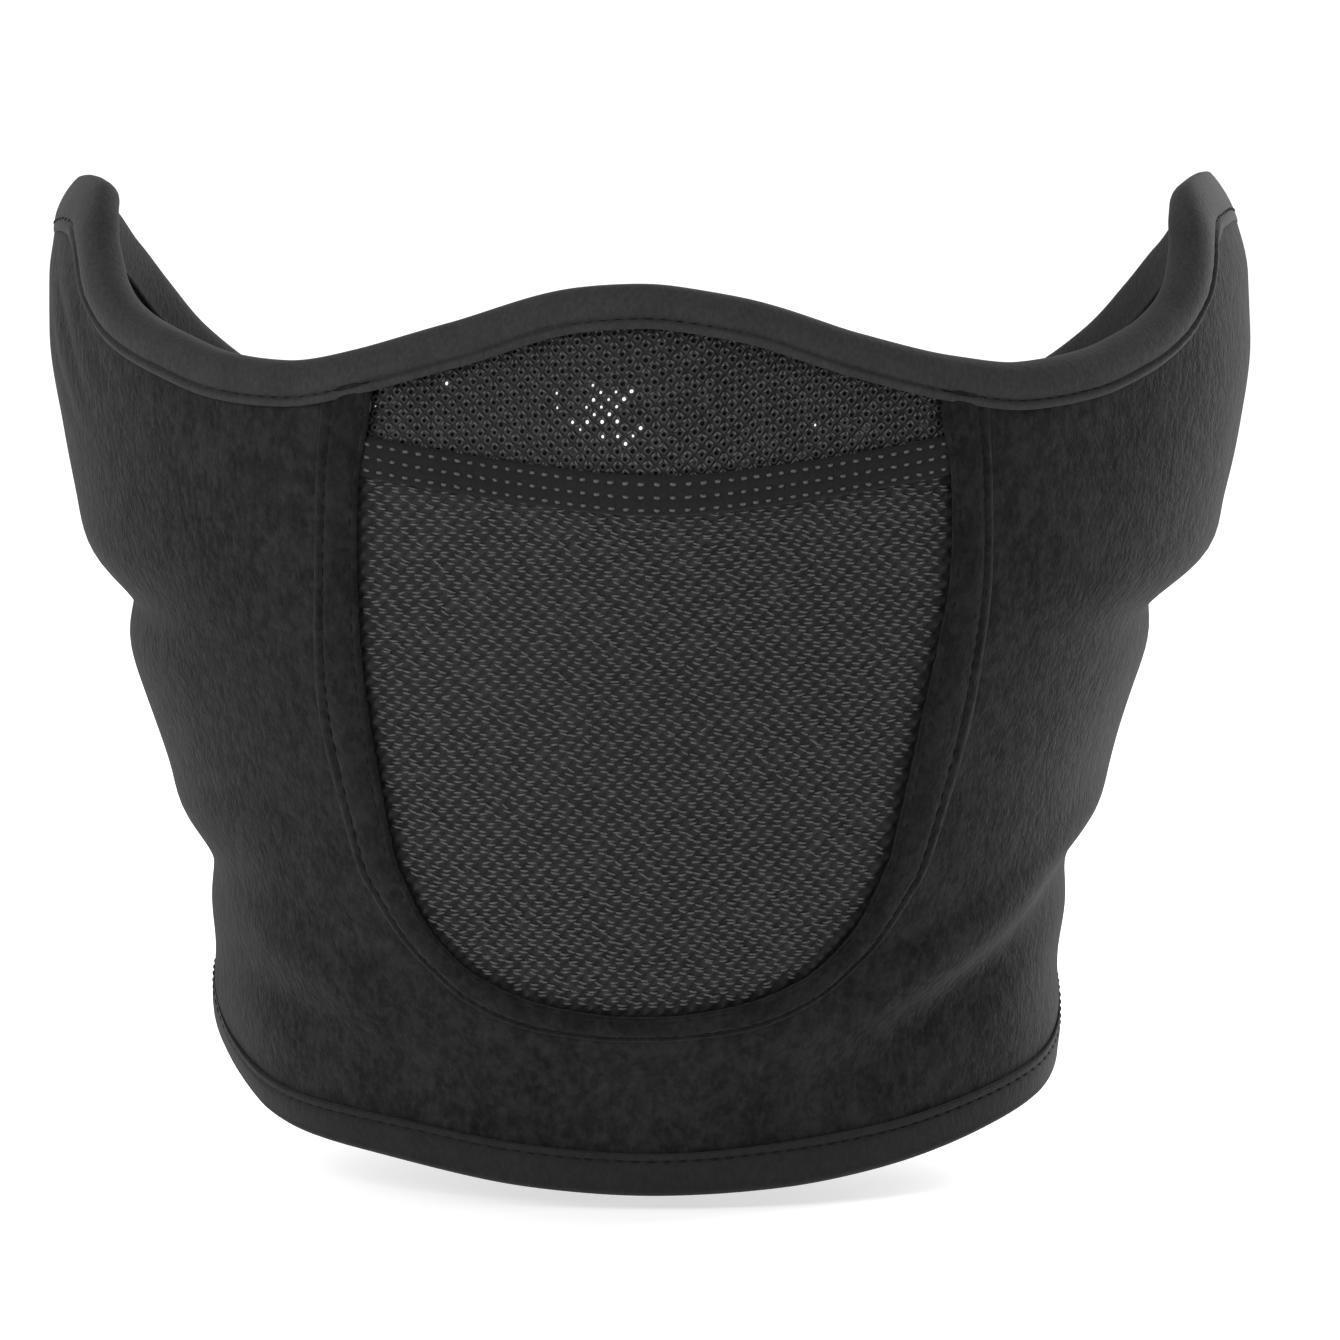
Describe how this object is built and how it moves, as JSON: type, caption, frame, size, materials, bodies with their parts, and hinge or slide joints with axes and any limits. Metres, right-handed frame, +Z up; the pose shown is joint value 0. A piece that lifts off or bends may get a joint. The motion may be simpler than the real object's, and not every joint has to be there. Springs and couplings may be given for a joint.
{
  "type": "half-face fleece mask",
  "caption": "Fleece half-face mask with ear covers, a sewn-in mesh window over nose and mouth, bound edges and a hook-and-loop closure behind the head.",
  "frame": {"origin": "Midway between the ear covers, at ear level, on the line where the wearer's head sits", "axes": "+X towards the wearer's left ear, -Y out of the face, +Z up"},
  "size_m": [0.206, 0.2017, 0.1708],
  "materials": {
    "fleece": "black short-pile fleece",
    "lining": "black smooth knit lining",
    "knit": "charcoal open knit mesh",
    "tape": "black woven tape",
    "thread": "black sewing thread",
    "hook_and_loop": "black nylon hook and loop"
  },
  "bodies": {
    "front": {"facing_stitch": "thread", "front_hem": "fleece", "front_hem_stitch": "thread", "front_lining": "lining", "front_shell": "fleece", "front_top_binding": "fleece", "front_top_stitch": "thread", "mesh_join_tape": "tape", "mouth_mesh": "knit", "nose_mesh": "knit", "tape_stitch_lower": "thread", "tape_stitch_middle": "thread", "tape_stitch_upper": "thread", "window_facing": "fleece"},
    "left_wing": {"left_wing_end_binding": "fleece", "left_wing_hem": "fleece", "left_wing_lining": "lining", "left_wing_shell": "fleece", "left_wing_top_binding": "fleece", "loop_patch": "hook_and_loop"},
    "right_wing": {"right_wing_end_binding": "fleece", "right_wing_hem": "fleece", "right_wing_lining": "lining", "right_wing_shell": "fleece", "right_wing_top_binding": "fleece", "tab_anchor": "fleece"},
    "tab": {"closure_tab": "fleece", "hook_patch": "hook_and_loop"}
  },
  "joints": [
    {"name": "left_wing_hinge", "type": "hinge", "parent": "front", "child": "left_wing", "pos_m": [0.0857, 0.0265, -0.0215], "axis": [-0.2358, 0, -0.9718], "range_deg": [0, 75]},
    {"name": "right_wing_hinge", "type": "hinge", "parent": "front", "child": "right_wing", "pos_m": [-0.0857, 0.0265, -0.0215], "axis": [-0.2358, 0, 0.9718], "range_deg": [0, 75]},
    {"name": "tab_peel", "type": "hinge", "parent": "right_wing", "child": "tab", "pos_m": [0, 0.0992, -0.0235], "axis": [0, 0, 1], "range_deg": [0, 110]}
  ],
  "couplings": [
    {"joint": "left_wing_hinge", "follows": "right_wing_hinge", "ratio": 1}
  ]
}
